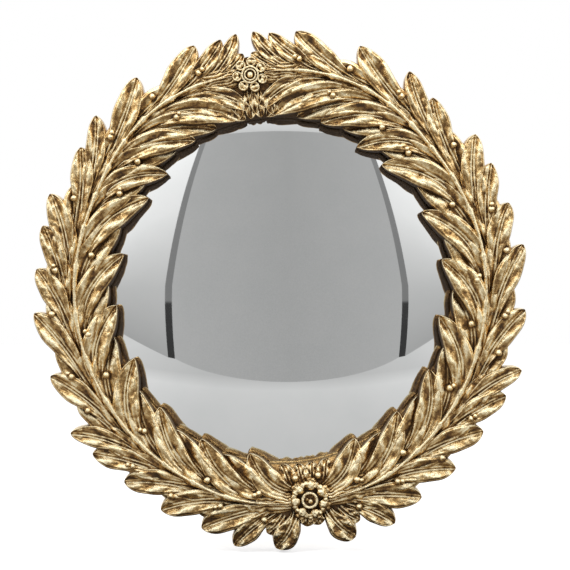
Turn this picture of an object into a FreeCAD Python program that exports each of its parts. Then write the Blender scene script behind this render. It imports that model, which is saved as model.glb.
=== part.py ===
import FreeCAD, Part
import os
from math import asin, cos, hypot, pi, radians, sin, sqrt

# Convex butlers mirror: a cast laurel wreath round a bulged looking glass, hung on a wall.
# Millimetres. +X right and +Z up as seen from the room, the front faces -Y.
# Y = 0 is the wall, and the origin is the point on the wall where the hook carries the ring.

V = FreeCAD.Vector

# ---------------------------------------------------------------- driving dimensions
wreath_lean = 8.0              # degrees anticlockwise that the two rosettes stand off plumb
glass_radius = 105.0
glass_thickness = 3.0
glass_curve_radius = 300.0     # front of the bulge
glass_lap = 5.0                # how far the lip covers the edge of the glass
contact_gap = 0.02             # between curved faces that bed on each other
glazing_gap = 0.5              # glass edge to rebate wall

# depths from the wall, front is larger
pad_thickness = 1.5
ledge_depth = 5.0              # floor of the recess that holds the buttons and the hanger
board_thickness = 3.0
board_lap = 3.0                # board edge outside the glass edge
board_gap = 0.4
foam_width = 8.0
foam_thickness = 1.5
ring_over_glass = 7.7          # flat front of the ring, ahead of the glass edge
rim_width = 6.5                # solid rim outside the recess
lip_height = 2.4               # upright edge of the lip round the glass
lip_slope = 4.0                # width over which the lip rises to the front

# leaves: depths are counted from the front of the ring
leaf_clearance = 0.35          # inner leaf tips to the glass that they overhang
outer_leaf_thickness = 7.2
leaf_foot_sink = 1.0
leaf_middle_rise = 2.2
leaf_tip_rise = 1.0
lobe_rise = 2.1                # pillow of each half of a leaf of full width
lobe_floor = 0.3               # the same where the width runs out
full_leaf_width = 15.0
midrib_share = 0.3             # crease height as a share of the lobe height
side_draft = 0.7               # spread of a leaf's side wall from front to back
foot_share = 0.42              # width of a leaf's foot against its full width
tip_share = 0.11               # width of the blunt tip
outer_peak, inner_peak = 0.64, 0.52     # where along its length a leaf is widest
leaf_stations = (0.08, 0.6, 0.86, 1.0)

# stem, berries and rosettes, depths counted from the front of the ring
stem_foot, stem_top = 2.2, 0.8
stem_rise = 4.2
stem_fade = 0.5                # width of the stem's two ends against the rest
root_sink = 2.0                # how deep stem, berries and rosettes reach into the ring
berry_radius = 2.1
berry_rise = 5.6
berry_sides = 5
bud_top_share = 0.62           # radius at the top of a berry or petal against its foot
rosette_rise = 5.6
rosette_sides = 8
rosette_out, rosette_size, rosette_petals = 21.8, 13.6, 8
crest_rosette_out, crest_rosette_size, crest_rosette_petals = 25.2, 10.0, 7

# board retainers
button_count = 4
button_offset = 6.0            # pivots outside the board edge
button_thickness = 1.2
button_end_radius = 4.5
button_nose_radius = 3.2
button_reach = 9.5
button_gap = 0.1
screw_radius = 1.5
screw_head_radius = 3.0
screw_head_height = 1.6
screw_length = 8.0
screw_hole_spare = 0.5         # hole deeper than its screw
pin_gap = 0.08

# hanging ring and its strap
wire_radius = 1.0
wire_sides = 6
strap_thickness = 0.8
strap_gap = 0.5                # strap to the seat of the board
barrel_length = 7.4
barrel_rise = 1.2              # axis of the barrel above the strap's wings
ring_half_width = 5.6
ring_corner = 1.5
ring_height = 9.0              # bar centre to crown centre
ring_room = 0.8                # crown of the ring to the rim when it lies up
ring_lean = 4.0                # degrees that the ring rests towards the casting
wing_span, wing_height = 26.0, 5.1
hanger_screw_offset = 9.6
hanger_head_radius = 2.6
hanger_head_height = 1.4

pad_radius = 2.5
pad_inset = 3.8                # centre of a pad to the outside of the casting
pad_angles = (30, 150, 210, 330)

# worked out from the above
sight_radius = glass_radius - glass_lap
board_radius = glass_radius + board_lap
board_front = ledge_depth + board_thickness
glass_edge_front = board_front + foam_thickness + glass_thickness
bulge_centre = glass_edge_front - sqrt(glass_curve_radius ** 2 - glass_radius ** 2)
ring_front = glass_edge_front + ring_over_glass
rosette_front = ring_front + rosette_rise
button_pivot_radius = board_radius + button_offset
wing_low = board_radius + board_gap + strap_gap
wing_high = wing_low + wing_height
hanger_axis_radius = wing_high + barrel_rise
barrel_radius = wire_radius + pin_gap + strap_thickness
barrel_depth = ledge_depth - barrel_radius
hook_rise = ring_height - wire_radius
hang_drop = hanger_axis_radius + hook_rise * cos(radians(ring_lean))
rim_inner_radius = hanger_axis_radius + ring_height + wire_radius + ring_room
casting_radius = rim_inner_radius + rim_width

# One branch of the wreath, from the low rosette (0 degrees) to the top one (180 degrees).
# Distances are counted outward from the edge of the visible glass.
# Each leaf: foot angle and distance, tip angle and distance, width, angle it leaves the stem at.
outer_leaves = [
    (1.0, 28.0, 1.6, 37.0, 8.0, 84), (4.0, 28.0, 9.0, 48.5, 14.5, 75),
    (7.2, 29.0, 11.2, 40.0, 9.0, 60), (9.0, 27.0, 18.2, 49.5, 13.0, 30),
    (10.5, 26.0, 26.3, 44.5, 15.5, 8), (20.0, 24.5, 36.6, 44.0, 15.5, 4),
    (30.5, 24.5, 47.2, 42.5, 15.5, 4), (41.0, 25.5, 57.0, 43.5, 14.5, 6),
    (48.5, 25.0, 63.7, 46.5, 12.5, 6), (59.0, 23.5, 77.5, 41.5, 14.5, 2),
    (72.0, 23.0, 92.7, 42.5, 14.5, 2), (87.0, 23.5, 103.0, 41.0, 14.5, 4),
    (96.5, 24.5, 113.2, 42.0, 13.0, 4), (104.0, 23.0, 120.7, 44.0, 14.0, 6),
    (115.5, 23.5, 133.7, 41.5, 13.5, 4), (123.5, 24.5, 141.5, 46.5, 12.0, 6),
    (134.0, 25.5, 154.0, 48.0, 15.0, 8), (151.5, 27.5, 168.6, 49.5, 14.5, 10),
    (160.0, 28.5, 174.6, 48.5, 10.5, 8), (168.0, 28.0, 178.1, 50.0, 9.5, 16),
    (172.0, 27.0, 179.0, 38.0, 8.5, 24),
]
inner_leaves = [
    (3.5, 17.5, 18.6, -4.5, 16.0, 8), (14.5, 19.0, 36.0, -3.0, 16.0, 6),
    (30.5, 18.0, 54.0, -3.0, 15.5, 6), (50.5, 18.0, 73.0, -7.0, 16.0, 6),
    (71.0, 17.5, 92.8, -5.0, 17.0, 6), (87.0, 16.5, 111.0, -7.0, 16.0, 6),
    (107.0, 15.5, 133.0, -7.0, 16.5, 6), (123.5, 17.5, 143.8, -6.5, 14.0, 6),
    (135.0, 19.0, 158.5, -0.5, 15.5, 6), (150.5, 21.0, 174.5, 1.5, 15.5, 6),
    (163.0, 22.0, 178.6, 5.0, 11.5, 4),
]
# Berries of one branch: angle, distance.
berries = [
    (12, 32.5), (23.5, 29), (36, 34), (48, 32), (66, 30.5), (75.5, 30), (92, 32), (103, 30),
    (122, 30), (140, 31.5), (154.5, 33.5), (167.3, 33.5), (3.5, 8.5), (14, 17.5), (29, 17),
    (52, 12.5), (72, 11.5), (85, 13.5), (108.5, 10.5), (129, 8), (140, 10.5), (157, 16),
]
# Crest line of the stem: angle, distance.
stem_line = [(4, 22), (20, 23), (35, 21), (50, 19.5), (70, 18.5), (90, 18.5), (110, 18.5),
             (125, 19.5), (138, 23), (150, 26), (164, 27), (176, 26)]


# ---------------------------------------------------------------- helpers
def on_branch(angle, out):
    """Point (x, z) of the wreath plane: degrees from the low rosette, distance outside the visible glass."""
    turn, radius = radians(angle), sight_radius + out
    return radius * sin(turn), -radius * cos(turn)


def at(x, z, depth):
    return V(x, -depth, z)


def facet_solid(loops):
    """Solid through equal rings of points, joined by flat facets and closed by flat ends."""
    faces = []
    count = len(loops[0])
    for near, far in zip(loops, loops[1:]):
        for i in range(count):
            j = (i + 1) % count
            for corners in ((near[i], near[j], far[j]), (near[i], far[j], far[i])):
                faces.append(Part.Face(Part.makePolygon(list(corners) + [corners[0]])))
    for end in (loops[0], loops[-1]):
        faces.append(Part.Face(Part.makePolygon(end + [end[0]])))
    shell = Part.Shell(faces)
    solid = Part.Solid(shell)
    if solid.Volume < 0:
        solid.reverse()
    return solid


def turned(profile):
    """Solid turned about the glass axis from (radius, depth) corners."""
    outline = Part.makePolygon([V(r, -d, 0) for r, d in profile + [profile[0]]])
    return Part.Face(outline).revolve(V(0, 0, 0), V(0, 1, 0), 360)


def rod(x, z, back, front, radius):
    """Round bar along the depth between two depths."""
    return Part.makeCylinder(radius, front - back, at(x, z, back), V(0, -1, 0))


def bulge_depth(radius, setback=0.0):
    """Depth of the glass front, or of a face that far behind it."""
    return bulge_centre + sqrt((glass_curve_radius - setback) ** 2 - radius ** 2)


def hung(shape):
    """Move a shape built round the glass axis to where it hangs below the hook."""
    shape.translate(V(0, 0, -hang_drop))
    return shape


# ---------------------------------------------------------------- the wreath casting
def leaf_share(s, peak, outer):
    """Half width of a leaf along its length, 0 foot to 1 tip, as a share of full."""
    if s < peak:
        u = s / peak
        swell = u * u * (3 - 2 * u) if outer else sin(pi / 2 * u) ** 1.2
        return foot_share + (1 - foot_share) * swell
    u = (s - peak) / (1 - peak)
    return max(tip_share, (1 - u ** 2.2) ** 0.62)


def inner_leaf_back():
    """Back of the inner leaves, just clear of the bulge under the tip that reaches furthest in."""
    return bulge_depth(sight_radius + min(row[3] for row in inner_leaves)) + leaf_clearance


def leaf(row, outer):
    """One leaf: two pillowed lobes along a creased, curving midrib, with drafted sides."""
    foot_angle, foot_out, tip_angle, tip_out, width, lift = row
    back = ring_front - outer_leaf_thickness if outer else inner_leaf_back()
    foot, tip = on_branch(foot_angle, foot_out), on_branch(tip_angle, tip_out)
    heading = radians(foot_angle + (-lift if outer else lift))
    pull = hypot(tip[0] - foot[0], tip[1] - foot[1]) / 2
    knee = (foot[0] + pull * cos(heading), foot[1] + pull * sin(heading))
    loops = []
    for s in leaf_stations:
        mid = [(1 - s) ** 2 * a + 2 * s * (1 - s) * b + s * s * c for a, b, c in zip(foot, knee, tip)]
        run = [(1 - s) * (b - a) + s * (c - b) for a, b, c in zip(foot, knee, tip)]
        length = hypot(*run)
        across = (-run[1] / length, run[0] / length)
        half = width / 2 * leaf_share(s, outer_peak if outer else inner_peak, outer)
        ends = -leaf_foot_sink if s < 0.5 else leaf_tip_rise
        edge = ring_front + ends + (leaf_middle_rise - ends) * sin(pi * s)
        fullness = 2 * half / full_leaf_width
        rise, flare = lobe_rise * fullness + lobe_floor, side_draft * fullness
        section = [(-half - flare, back), (-half, edge), (-half / 2, edge + rise),
                   (0.0, edge + rise * midrib_share), (half / 2, edge + rise), (half, edge),
                   (half + flare, back)]
        loops.append([at(mid[0] + across[0] * t, mid[1] + across[1] * t, d) for t, d in section])
    return facet_solid(loops)


def stem():
    """The ridge that both rows of leaves spring from."""
    root, crest = ring_front - root_sink, ring_front + stem_rise
    loops = []
    for i, (angle, out) in enumerate(stem_line):
        fade = stem_fade if i in (0, len(stem_line) - 1) else 1.0
        section = [(-stem_foot, root), (-stem_top, crest), (stem_top, crest), (stem_foot, root)]
        loops.append([at(*on_branch(angle, out + t * fade), d) for t, d in section])
    return facet_solid(loops)


def disc_loop(x, z, radius, depth, sides):
    """Ring of points round (x, z) at one depth."""
    turns = [2 * pi * i / sides for i in range(sides)]
    return [at(x + radius * cos(t), z + radius * sin(t), depth) for t in turns]


def knob(x, z, radius, back, top):
    """A small faceted bud, narrower at the top."""
    return facet_solid([disc_loop(x, z, radius, back, berry_sides),
                        disc_loop(x, z, bud_top_share * radius, top, berry_sides)])


def berry(angle, out):
    """Berry on the ring, or on the leaves where it stands outside the ring."""
    on_ring = sight_radius + out < casting_radius - 2 * berry_radius
    back = ring_front - (root_sink if on_ring else outer_leaf_thickness)
    return knob(*on_branch(angle, out), berry_radius, back, ring_front + berry_rise)


def rosette(out, size, petals, angle):
    """Raised boss with a dish in it, inside a circle of round petals."""
    x, z = on_branch(angle, out)
    buried, boss = ring_front - root_sink, 0.38 * size
    dish_depth, petal_drop, petal_place, petal_size = 1.4, 0.8, 0.72 * size, 0.28 * size
    cup = facet_solid([disc_loop(x, z, 1.2 * boss, buried, rosette_sides),
                       disc_loop(x, z, 0.95 * boss, rosette_front, rosette_sides)])
    dish = facet_solid([disc_loop(x, z, 0.75 * boss, rosette_front + contact_gap, rosette_sides),
                        disc_loop(x, z, 0.3 * boss, rosette_front - dish_depth, rosette_sides)])
    parts = [cup.cut(dish)]
    for i in range(petals):
        turn = 2 * pi * (i + 0.5) / petals
        parts.append(knob(x + petal_place * cos(turn), z + petal_place * sin(turn), petal_size, buried,
                          rosette_front - petal_drop))
    return parts


def wreath_frame():
    """One casting: moulded ring, two mirrored branches of leaves, berries, two rosettes."""
    rebate = glass_radius + glazing_gap
    board_seat = board_radius + board_gap
    lip_back = bulge_depth(sight_radius) + contact_gap
    ring = turned([
        (sight_radius, lip_back), (sight_radius, lip_back + lip_height),
        (sight_radius + lip_slope, ring_front), (casting_radius, ring_front),
        (casting_radius, 2 * pad_thickness),
        (casting_radius - pad_thickness, pad_thickness),
        (rim_inner_radius, pad_thickness), (rim_inner_radius, ledge_depth),
        (board_seat, ledge_depth), (board_seat, board_front), (rebate, board_front),
        (rebate, bulge_depth(rebate) + contact_gap)])
    half = [leaf(row, True) for row in outer_leaves] + [leaf(row, False) for row in inner_leaves]
    half += [berry(*place) for place in berries] + [stem()]
    branch = half[0].multiFuse(half[1:])
    other = branch.mirror(V(0, 0, 0), V(1, 0, 0))
    flowers = rosette(rosette_out, rosette_size, rosette_petals, 0)
    flowers += rosette(crest_rosette_out, crest_rosette_size, crest_rosette_petals, 180)
    casting = ring.multiFuse([branch, other] + flowers).removeSplitter()
    casting.rotate(V(0, 0, 0), V(0, 1, 0), -wreath_lean)
    holes = [rod(x, z, ledge_depth - 1, ledge_depth + screw_length + screw_hole_spare,
                 screw_radius + contact_gap) for x, z in button_places() + hanger_screw_places()]
    return hung(casting.cut(Part.makeCompound(holes)))


# ---------------------------------------------------------------- glass and packing
def convex_mirror():
    """Bulged sheet of even thickness with its edge ground square to the wall."""
    centre = at(0, 0, bulge_centre)
    fore = Part.makeSphere(glass_curve_radius, centre, V(0, 0, 1))
    rear = Part.makeSphere(glass_curve_radius - glass_thickness, centre, V(0, 0, 1))
    blank = rod(0, 0, board_front, bulge_centre + glass_curve_radius, glass_radius)
    return hung(blank.common(fore).cut(rear))


def foam_ring():
    """Strip squeezed between the board and the back of the glass rim."""
    inner, outer = glass_radius - foam_width, glass_radius - glazing_gap
    slack = (outer - inner) ** 2 / (8 * glass_curve_radius) + contact_gap
    return hung(turned([(r, d) for r, d in (
        (inner, board_front), (inner, bulge_depth(inner, glass_thickness) - slack),
        (outer, bulge_depth(outer, glass_thickness) - slack), (outer, board_front))]))


def backing_board():
    return hung(rod(0, 0, ledge_depth, board_front, board_radius))


# ---------------------------------------------------------------- board retainers
def button_places():
    """Pivots of the turn buttons round the glass axis, as (x, z), first one upper right."""
    angles = [radians(45 + 360 / button_count * i) for i in range(button_count)]
    return [(button_pivot_radius * cos(a), button_pivot_radius * sin(a)) for a in angles]


def turn_button(place):
    """Flat pear-shaped tab on a screw, its nose over the edge of the board."""
    x, z = place
    length = hypot(x, z)
    inward = V(-x / length, 0, -z / length)
    side = V(-inward.z, 0, inward.x)
    front = ledge_depth - button_gap
    pivot, nose = at(x, z, front), at(x, z, front) + inward * button_reach
    lean = asin((button_end_radius - button_nose_radius) / button_reach)

    def rim(centre, radius, angle):
        return centre + inward * (radius * sin(angle)) + side * (radius * cos(angle))

    heel = [rim(pivot, button_end_radius, a) for a in (lean, -pi / 2, pi - lean)]
    toe = [rim(nose, button_nose_radius, a) for a in (pi - lean, pi / 2, lean)]
    wire = Part.Wire([Part.Arc(*heel).toShape(), Part.makeLine(heel[2], toe[0]),
                      Part.Arc(*toe).toShape(), Part.makeLine(toe[2], heel[0])])
    tab = Part.Face(wire).extrude(V(0, button_thickness, 0))
    return hung(tab.cut(rod(x, z, 0, ledge_depth, screw_radius + pin_gap)))


def pan_screw(place, clamp, head_radius, head_height):
    """Screw whose head bears on a piece of the given clamped thickness."""
    x, z = place
    seat = ledge_depth - clamp
    head = rod(x, z, seat - head_height, seat, head_radius)
    return head.fuse(rod(x, z, seat, ledge_depth + screw_length, screw_radius))


def turn_button_screws():
    clamp = button_thickness + 2 * button_gap
    screws = [pan_screw(place, clamp, screw_head_radius, screw_head_height) for place in button_places()]
    return hung(Part.makeCompound(screws))


# ---------------------------------------------------------------- hanger
def hanger_screw_places():
    height = (wing_low + wing_high) / 2
    return [(-hanger_screw_offset, height), (hanger_screw_offset, height)]


def hanger_strap():
    """Winged plate with a rolled barrel for the bar of the ring."""
    height = wing_high - wing_low
    end = height / 2
    wings = Part.makeBox(wing_span - height, strap_thickness, height,
                         V(-wing_span / 2 + end, -ledge_depth, wing_low))
    for side in (-1, 1):
        wings = wings.fuse(rod(side * (wing_span / 2 - end), wing_low + end,
                               ledge_depth - strap_thickness, ledge_depth, end))
    tongue = Part.makeBox(barrel_length, strap_thickness, hanger_axis_radius - wing_low,
                          V(-barrel_length / 2, -ledge_depth, wing_low))
    barrel = Part.makeCylinder(barrel_radius, barrel_length,
                               V(-barrel_length / 2, -barrel_depth, hanger_axis_radius), V(1, 0, 0))
    bore = Part.makeCylinder(wire_radius + pin_gap, barrel_length + 2,
                             V(-barrel_length / 2 - 1, -barrel_depth, hanger_axis_radius), V(1, 0, 0))
    strap = wings.fuse(tongue).fuse(barrel).cut(bore)
    for x, z in hanger_screw_places():
        strap = strap.cut(rod(x, z, 0, ledge_depth + 1, screw_radius + contact_gap))
    return hung(strap.removeSplitter())


def hanger_ring():
    """D of wire: round bar in the barrel, then a many-sided bow of the same thickness."""
    low, side, corner = hanger_axis_radius, ring_half_width, ring_corner
    crown = low + ring_height - side

    def point(x, z):
        return V(x, -barrel_depth, z)

    def slice_at(centre, outward):
        """Cross-section with flat sides, one of them square to the outward direction."""
        reach = wire_radius / cos(pi / wire_sides)
        turns = [pi / wire_sides * (2 * i + 1) for i in range(wire_sides)]
        points = [centre + outward * (reach * cos(t)) + V(0, reach * sin(t), 0) for t in turns]
        return Part.Face(Part.makePolygon(points + [points[0]]))

    bow = [slice_at(point(side, crown), V(1, 0, 0)).revolve(point(0, crown), V(0, -1, 0), 180)]
    for hand in (-1, 1):
        leg = slice_at(point(hand * side, low + corner), V(hand, 0, 0))
        bow.append(leg.extrude(V(0, 0, crown - low - corner)))
        bow.append(leg.revolve(point(hand * (side - corner), low + corner), V(0, hand, 0), 90))
    bar = Part.makeCylinder(wire_radius, 2 * (side - corner), point(corner - side, low), V(1, 0, 0))
    ring = bar.multiFuse(bow).removeSplitter()
    ring.rotate(point(0, low), V(1, 0, 0), ring_lean)
    return hung(ring)


def hanger_screws():
    screws = [pan_screw(place, strap_thickness, hanger_head_radius, hanger_head_height)
              for place in hanger_screw_places()]
    return hung(Part.makeCompound(screws))


def wall_pads():
    ring = casting_radius - pad_inset
    pads = [rod(ring * sin(radians(a)), ring * cos(radians(a)), 0, pad_thickness, pad_radius)
            for a in pad_angles]
    return hung(Part.makeCompound(pads))


# ---------------------------------------------------------------- write the nodes
def main():
    os.makedirs("parts", exist_ok=True)
    nodes = {
        "wreath_frame": wreath_frame(),
        "convex_mirror": convex_mirror(),
        "foam_ring": foam_ring(),
        "backing_board": backing_board(),
        "turn_button_screws": turn_button_screws(),
        "hanger_strap": hanger_strap(),
        "hanger_ring": hanger_ring(),
        "hanger_screws": hanger_screws(),
        "wall_pads": wall_pads(),
    }
    for i, place in enumerate(button_places()):
        nodes["turn_button_%d" % (i + 1)] = turn_button(place)
    for name, shape in nodes.items():
        shape.exportStep("parts/%s.step" % name)
        print(name, shape.isValid(), len(shape.Solids), len(shape.Faces), round(shape.Volume, 1))


main()
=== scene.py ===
"""Looks of the convex butlers mirror: a finely modelled laurel casting and bulged silvered glass in
place of the two plain solids, and finishes for the CAD fittings on the back.

The wreath is worked out in millimetres as (right, up, depth from the wall) round the glass axis,
with the same leaf and berry rows as part.py, and goes to metres once, in placed().
"""

from math import cos, hypot, pi, radians, sin, sqrt

import bpy
import numpy as np
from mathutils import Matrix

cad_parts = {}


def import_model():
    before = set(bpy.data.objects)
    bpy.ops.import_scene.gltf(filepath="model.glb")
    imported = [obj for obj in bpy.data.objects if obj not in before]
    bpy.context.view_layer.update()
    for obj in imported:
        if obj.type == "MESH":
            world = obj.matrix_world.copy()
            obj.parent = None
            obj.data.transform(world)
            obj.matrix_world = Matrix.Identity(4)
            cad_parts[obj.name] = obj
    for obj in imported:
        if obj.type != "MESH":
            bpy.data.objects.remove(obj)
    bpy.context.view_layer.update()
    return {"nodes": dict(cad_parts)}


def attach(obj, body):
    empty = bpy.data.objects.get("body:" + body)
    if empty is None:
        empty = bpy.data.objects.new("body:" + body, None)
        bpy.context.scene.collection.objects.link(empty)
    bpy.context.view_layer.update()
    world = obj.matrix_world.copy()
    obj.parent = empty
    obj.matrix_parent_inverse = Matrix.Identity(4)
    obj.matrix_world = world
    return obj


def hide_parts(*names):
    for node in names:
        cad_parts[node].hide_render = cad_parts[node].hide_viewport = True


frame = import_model()

# ---------------------------------------------------------------- sizes, mm
# These equal the ones in part.py.
WREATH_LEAN = 8.0              # degrees
HANGER_AXIS, HOOK_RISE, RING_LEAN = 115.2, 8.0, 4.0
HANG_DROP = HANGER_AXIS + HOOK_RISE * cos(radians(RING_LEAN))
SIGHT_RADIUS, GLASS_RADIUS, GLASS_THICKNESS, GLASS_CURVE = 100.0, 105.0, 3.0, 300.0
GLASS_EDGE_FRONT, CONTACT_GAP = 12.5, 0.02
BULGE_CENTRE = GLASS_EDGE_FRONT - sqrt(GLASS_CURVE ** 2 - GLASS_RADIUS ** 2)
CASTING_RADIUS, RIM_INNER, RING_CROWN = 132.5, 126.0, 20.2
PAD_THICKNESS, LEDGE_DEPTH, BOARD_FRONT, BOARD_SEAT, REBATE = 1.5, 5.0, 8.0, 108.4, 105.5
OUTER_BACK, FOOT_DEPTH, EDGE_DEPTH, TIP_DEPTH = 13.0, 19.2, 22.4, 21.2
FULL_WIDTH, SIDE_DRAFT, FOOT_SHARE, OUTER_PEAK, INNER_PEAK = 15.0, 0.7, 0.42, 0.64, 0.52
ROSETTE_FRONT = 25.8

# These have no match in part.py or differ a little from it, to follow the photograph.
GLASS_CLEARANCE = 0.5          # inner leaves over the glass
LOBE_RISE, LOBE_FLOOR, LOBE_PLACE, VALLEY, TIP_SHARE = 2.7, 0.3, 0.7, -0.1, 0.05
STEM_CREST, BERRY_RADIUS, BERRY_TOP = 24.8, 1.95, 26.0
OUTER_FALL, INNER_FALL = 0.8, 1.2      # how far leaf tips lean back
BACK_STEP = 0.12               # leaves that overlap end at different depths
STEM_HALF_WIDTH, STEM_NODES, STEM_STATIONS = 1.6, 17, 620
MOUND_RIDGES, MOUND_WIDE = 7, 9.8
EASED = 0.2                    # softened edges of the ring
UNDER_DROP, UNDER_WIDER, FILLER_DROP = 1.5, 2.0, 1.8
OUTER_UNDER_TIP, INNER_UNDER_TIP = 31.0, 0.5

# Relief of a leaf's face: the twin midribs, the raised rim with the groove inside it, and the
# (size, height) of the beating. Each leaf draws the heights of its veins, flutes, bulges and middle
# beating, and the number and phase of its folds, between two limits.
RIB_INSET, RIB_SPREAD, RIB_WIDTH, RIB_HEIGHT = 0.5, 0.55, 0.42, 0.8
RIM_INSET, RIM_WIDTH, RIM_HEIGHT, RIM_GROOVE_INSET, RIM_GROOVE = 0.6, 0.35, 0.42, 1.35, 0.2
COARSE_BEATING, FINE_BEATING, MIDDLE_BEATING = (3.6, 0.28), (0.8, 0.16), 1.6
FORM_HEIGHTS = (0.1, 0.4, 0.35, 0.16), (0.28, 0.6, 0.7, 0.3)
FOLDS = (1.7, 0), (2.9, 1)
OUTER_SEED, INNER_SEED, UNDER_SEED, FILLER_SEED, OTHER_BRANCH = 100, 300, 500, 700, 100

# The relief value, about 0 to 1.2, is stored at each point: it says how rubbed the gold is there,
# with a painted highlight where it is high and wax with painted shade where it is low.
WALL = 0.42                    # side walls, which neither wear nor fill with wax
SHADED_GLASS_WALL = -0.1              # the same next to the glass, painted darkest there as shade
MOST_RELIEF = 1.2

# One branch, from the low rosette (0 degrees) to the top one (180 degrees), distances outward from
# the edge of the visible glass.
# Each leaf: foot angle and distance, tip angle and distance, width, angle it leaves the stem at.
OUTER_LEAVES = [
    (1.0, 28.0, 1.6, 37.0, 8.0, 84), (4.0, 28.0, 9.0, 48.5, 14.5, 75),
    (7.2, 29.0, 11.2, 40.0, 9.0, 60), (9.0, 27.0, 18.2, 49.5, 13.0, 30),
    (10.5, 26.0, 26.3, 44.5, 15.5, 8), (20.0, 24.5, 36.6, 44.0, 15.5, 4),
    (30.5, 24.5, 47.2, 42.5, 15.5, 4), (41.0, 25.5, 57.0, 43.5, 14.5, 6),
    (48.5, 25.0, 63.7, 46.5, 12.5, 6), (59.0, 23.5, 77.5, 41.5, 14.5, 2),
    (72.0, 23.0, 92.7, 42.5, 14.5, 2), (87.0, 23.5, 103.0, 41.0, 14.5, 4),
    (96.5, 24.5, 113.2, 42.0, 13.0, 4), (104.0, 23.0, 120.7, 44.0, 14.0, 6),
    (115.5, 23.5, 133.7, 41.5, 13.5, 4), (123.5, 24.5, 141.5, 46.5, 12.0, 6),
    (134.0, 25.5, 154.0, 48.0, 15.0, 8), (151.5, 27.5, 168.6, 49.5, 14.5, 10),
    (160.0, 28.5, 174.6, 48.5, 10.5, 8), (168.0, 28.0, 178.1, 50.0, 9.5, 16),
    (172.0, 27.0, 179.0, 38.0, 8.5, 24),
]
INNER_LEAVES = [
    (3.5, 17.5, 18.6, -4.5, 16.0, 8), (14.5, 19.0, 36.0, -3.0, 16.0, 6),
    (30.5, 18.0, 54.0, -3.0, 15.5, 6), (50.5, 18.0, 73.0, -7.0, 16.0, 6),
    (71.0, 17.5, 92.8, -5.0, 17.0, 6), (87.0, 16.5, 111.0, -7.0, 16.0, 6),
    (107.0, 15.5, 133.0, -7.0, 16.5, 6), (123.5, 17.5, 143.8, -6.5, 14.0, 6),
    (135.0, 19.0, 158.5, -0.5, 15.5, 6), (150.5, 21.0, 174.5, 1.5, 15.5, 6),
    (163.0, 22.0, 178.6, 5.0, 11.5, 4),
]
# Angle and distance of each berry.
BERRIES = [
    (12, 32.5), (23.5, 29), (36, 34), (48, 32), (66, 30.5), (75.5, 30), (92, 32), (103, 30),
    (122, 30), (140, 31.5), (154.5, 33.5), (167.3, 33.5), (3.5, 8.5), (14, 17.5), (29, 17),
    (52, 12.5), (72, 11.5), (85, 13.5), (108.5, 10.5), (129, 8), (140, 10.5), (157, 16),
]
# Crest of the stem: angle and distance. It starts further from the low rosette than in part.py.
STEM_LINE = [(5.4, 22.4), (20, 23), (35, 21), (50, 19.5), (70, 18.5), (90, 18.5), (110, 18.5),
             (125, 19.5), (138, 23), (150, 26), (164, 27), (176, 26)]

# Short fluted leaves under the top rosette and over the low one, which only scene.py has.
FILLERS = [(179.0, 20.0, 178.2, 0.5, 9.5, 84), (174.5, 19.0, 173.4, 0.8, 10.0, 80),
           (1.4, 14.0, 2.4, 0.5, 10.5, 84), (5.0, 15.0, 7.6, 0.5, 11.0, 80)]
# Ridged mounds beside the low and the top rosette: angles they run between, distance, half width.
MOUNDS = [(5.2, 17.5, 22.0, 5.5), (176.2, 163.0, 25.4, 6.0)]
# Balls of a petal are (outward, sideways, radius, below the crest), rings (radius, half thickness),
# beads (right, up, radius, top).
LOW_ROSETTE = dict(
    angle=0, out=21.8, size=13.4, petals=7, curl=0, rings=[(4.1, 0.75)],
    balls=[(8.3, 0, 3.1, 0.5), (8.8, 2.9, 1.9, 1.0), (11.2, 1.2, 1.8, 1.9)],
    beads=[(0.3, -0.7, 1.6, ROSETTE_FRONT - 0.7), (-1.5, 0.5, 1.1, ROSETTE_FRONT - 1.2),
           (-1.1, -12.2, 1.7, ROSETTE_FRONT - 2.4), (1.4, -12.3, 1.7, ROSETTE_FRONT - 2.4)])
TOP_ROSETTE = dict(
    angle=180, out=25.2, size=10.8, petals=7, curl=2.4, rings=[(4.6, 0.5), (3.1, 0.42)],
    balls=[(7.5, 1.1, 1.5, 0.8), (9.4, 0, 1.3, 1.7)], beads=[(0, 0, 1.9, ROSETTE_FRONT + 0.1)])

# ---------------------------------------------------------------- helpers for shapes
NOISE_CELLS = 64
noise_table = np.random.default_rng(11).uniform(-1, 1, (NOISE_CELLS, NOISE_CELLS))


def swell(u, v, size, seed=0):
    """Smooth bumps from -1 to 1 over the plane, about one bump to each size."""
    u, v = u / size + 13.7 * seed, v / size + 5.3 * seed
    iu, iv = np.floor(u).astype(int), np.floor(v).astype(int)
    fu, fv = u - iu, v - iv
    fu, fv = fu * fu * (3 - 2 * fu), fv * fv * (3 - 2 * fv)

    def corner(i, j):
        return noise_table[(iu + i) % NOISE_CELLS, (iv + j) % NOISE_CELLS]

    low = corner(0, 0) * (1 - fu) + corner(1, 0) * fu
    high = corner(0, 1) * (1 - fu) + corner(1, 1) * fu
    return low * (1 - fv) + high * fv


def bell(x, middle, width):
    """Smooth bump of height 1."""
    return np.exp(-((x - middle) / width) ** 2)


def glass_front(radius, setback=0.0):
    """Depth of the glass's front, or of a sphere setback behind it, at a radius from its axis."""
    return BULGE_CENTRE + np.sqrt((GLASS_CURVE - setback) ** 2 - radius ** 2)


def on_branch(angle, out):
    """Right and up of a point at an angle from the low rosette, out from the visible glass."""
    turn, radius = np.radians(angle), SIGHT_RADIUS + out
    return radius * np.sin(turn), -radius * np.cos(turn)


def placed(points):
    """Points (right, up, depth) round the glass axis in mm, to where they hang, in metres."""
    u, v, d = np.asarray(points, float).T
    turn = radians(WREATH_LEAN)
    return np.column_stack([u * cos(turn) - v * sin(turn), -d,
                            u * sin(turn) + v * cos(turn) - HANG_DROP]) / 1000


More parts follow.
